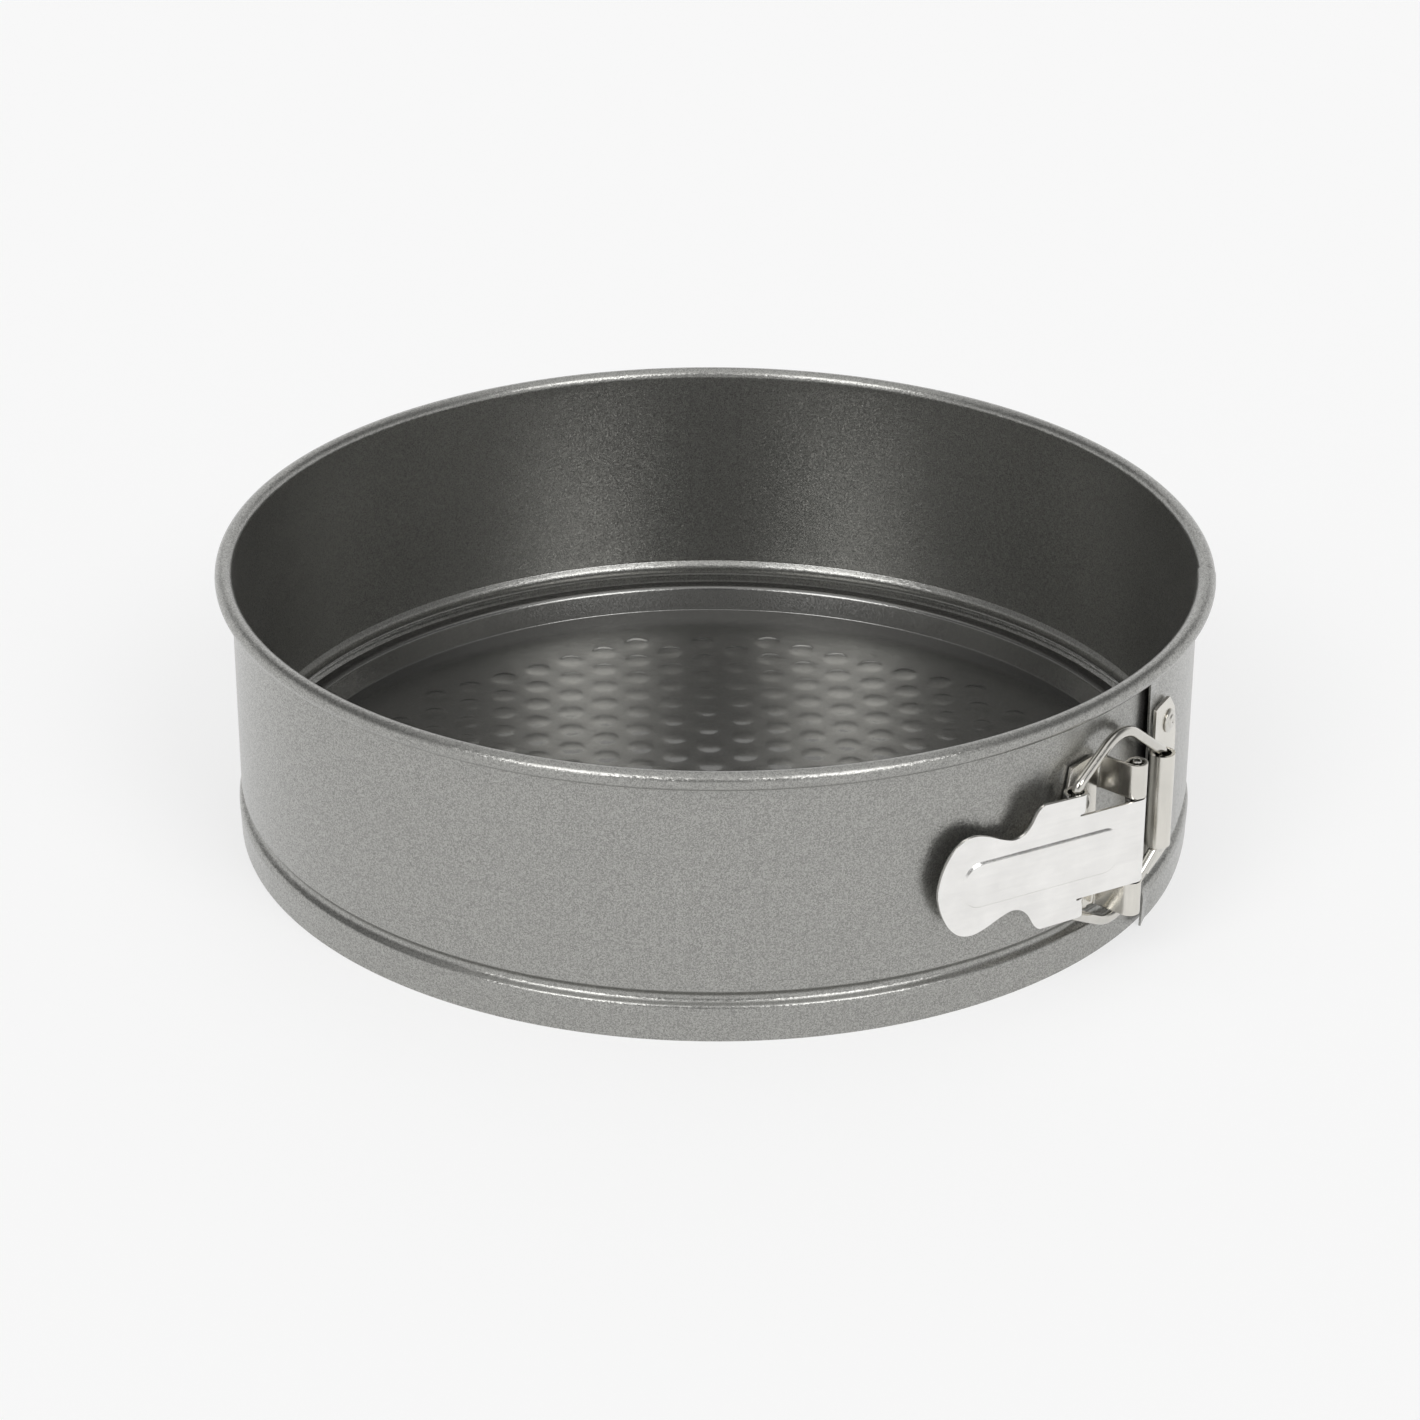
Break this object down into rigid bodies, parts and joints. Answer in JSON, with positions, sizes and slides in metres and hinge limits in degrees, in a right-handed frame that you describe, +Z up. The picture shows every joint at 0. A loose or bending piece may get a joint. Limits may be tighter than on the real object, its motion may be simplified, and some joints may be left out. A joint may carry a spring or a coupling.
{
  "type": "springform pan",
  "caption": "Round springform cake pan with a loose tray base, a rolled-rim sheet-steel ring that laps at its ends, and an over-centre lever latch with a wire loop.",
  "frame": {"origin": "centre of the tray base's underside, on the surface that the pan stands on", "axes": "+Z up along the pan's axis; the latch is at a bearing of about 50 degrees from -Y towards +X"},
  "size_m": [0.2493, 0.249, 0.0707],
  "materials": {
    "nonstick": "dark grey metallic non-stick coating, satin, with a fine sparkle",
    "nickel": "bright nickel-plated steel with light rolling marks"
  },
  "bodies": {
    "base": {"base_plate": "nonstick"},
    "ring_left_body": {"ring_left": "nonstick", "hinge_bracket": "nickel", "bracket_rivet_upper": "nickel", "bracket_rivet_lower": "nickel", "hinge_pin": "nickel"},
    "ring_right_body": {"ring_right": "nonstick", "catch_plate": "nickel", "catch_rivet_upper": "nickel", "catch_rivet_lower": "nickel"},
    "lever": {"latch_lever": "nickel"},
    "bail": {"wire_bail": "nickel"}
  },
  "joints": [
    {"name": "ring_lift", "type": "slide", "parent": "base", "child": "ring_left_body", "axis": [0, 0, 1], "range_m": [0, 0.08]},
    {"name": "lever_swing", "type": "hinge", "parent": "ring_left_body", "child": "lever", "pos_m": [0.09879, -0.08527, 0.035], "axis": [0, 0, 1], "range_deg": [0, 110]},
    {"name": "ring_spread", "type": "hinge", "parent": "ring_left_body", "child": "ring_right_body", "pos_m": [-0.10072, 0.07318, 0.035], "axis": [0, 0, 1], "range_deg": [0, 1.18]},
    {"name": "bail_swing", "type": "hinge", "parent": "ring_right_body", "child": "bail", "pos_m": [0.10704, -0.06533, 0.035], "axis": [0, 0, 1], "range_deg": [0, 39.6]}
  ],
  "couplings": [
    {"joint": "ring_spread", "follows": "lever_swing", "ratio": 0.010693},
    {"joint": "bail_swing", "follows": "lever_swing", "ratio": 0.35973}
  ]
}
